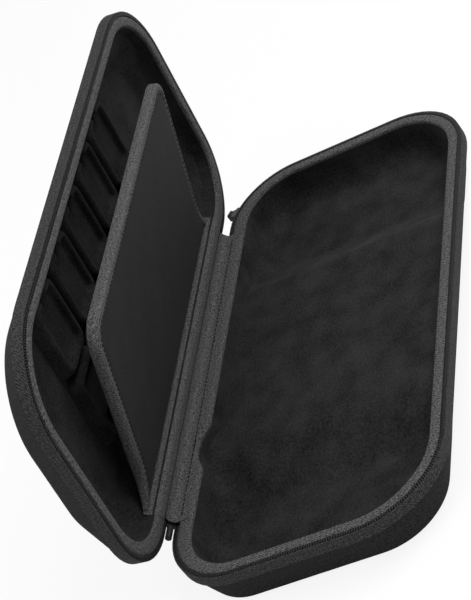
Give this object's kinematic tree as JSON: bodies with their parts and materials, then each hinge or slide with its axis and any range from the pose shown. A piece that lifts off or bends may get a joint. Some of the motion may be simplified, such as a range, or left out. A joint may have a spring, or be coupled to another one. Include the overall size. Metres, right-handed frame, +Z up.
{
  "type": "portable game console case",
  "caption": "Zip-round moulded travel case for a handheld game console, with a lined tray on pod feet and a hinged lid that holds a padded flap and card beds.",
  "frame": {"origin": "on the plane that the case stands on, under the middle of the whole open case", "axes": "+X along the case, towards the end that holds the zip slider; +Y from the opening side to the spine; +Z up"},
  "size_m": [0.2906, 0.1601, 0.1674],
  "materials": {
    "shell_fabric": "dark charcoal polyester laminated on a moulded foam shell",
    "velour": "near-black brushed velour lining",
    "woven_band": "heather grey woven binding",
    "flap_cloth": "smooth dark grey cloth over foam",
    "zip_tape": "black woven zip tape",
    "zip_coil": "black nylon coil",
    "black_metal": "satin black"
  },
  "bodies": {
    "base": {"base_shell": "shell_fabric", "console_tray": "velour", "base_binding": "woven_band", "base_zip_tape": "zip_tape", "base_zip_coil": "zip_coil", "spine_web": "shell_fabric", "hinge_lining": "woven_band", "zip_slider": "black_metal", "zip_stop": "zip_coil"},
    "lid": {"lid_shell": "shell_fabric", "card_insert": "velour", "lid_binding": "woven_band", "lid_zip_tape": "zip_tape", "lid_zip_coil": "zip_coil", "flap_web": "flap_cloth"},
    "flap": {"flap_panel": "flap_cloth", "flap_gusset": "woven_band"},
    "pull": {"zip_pull": "black_metal"}
  },
  "joints": [
    {"name": "lid_hinge", "type": "hinge", "parent": "base", "child": "lid", "pos_m": [0, 0.06165, 0.0264], "axis": [-1, 0, 0], "range_deg": [-80.9, 99], "deforming": ["spine_web", "hinge_lining"]},
    {"name": "flap_hinge", "type": "hinge", "parent": "lid", "child": "flap", "pos_m": [0, 0.06649, 0.04297], "axis": [1, 0, 0], "range_deg": [-11.3, 13.9], "deforming": ["flap_web"]},
    {"name": "pull_swing", "type": "hinge", "parent": "base", "child": "pull", "pos_m": [0.125, 0.06275, 0.0226], "axis": [0.9272, -0.3746, 0], "range_deg": [-25, 14]}
  ],
  "couplings": [
    {"joint": "flap_hinge", "follows": "lid_hinge", "ratio": 0.139}
  ]
}
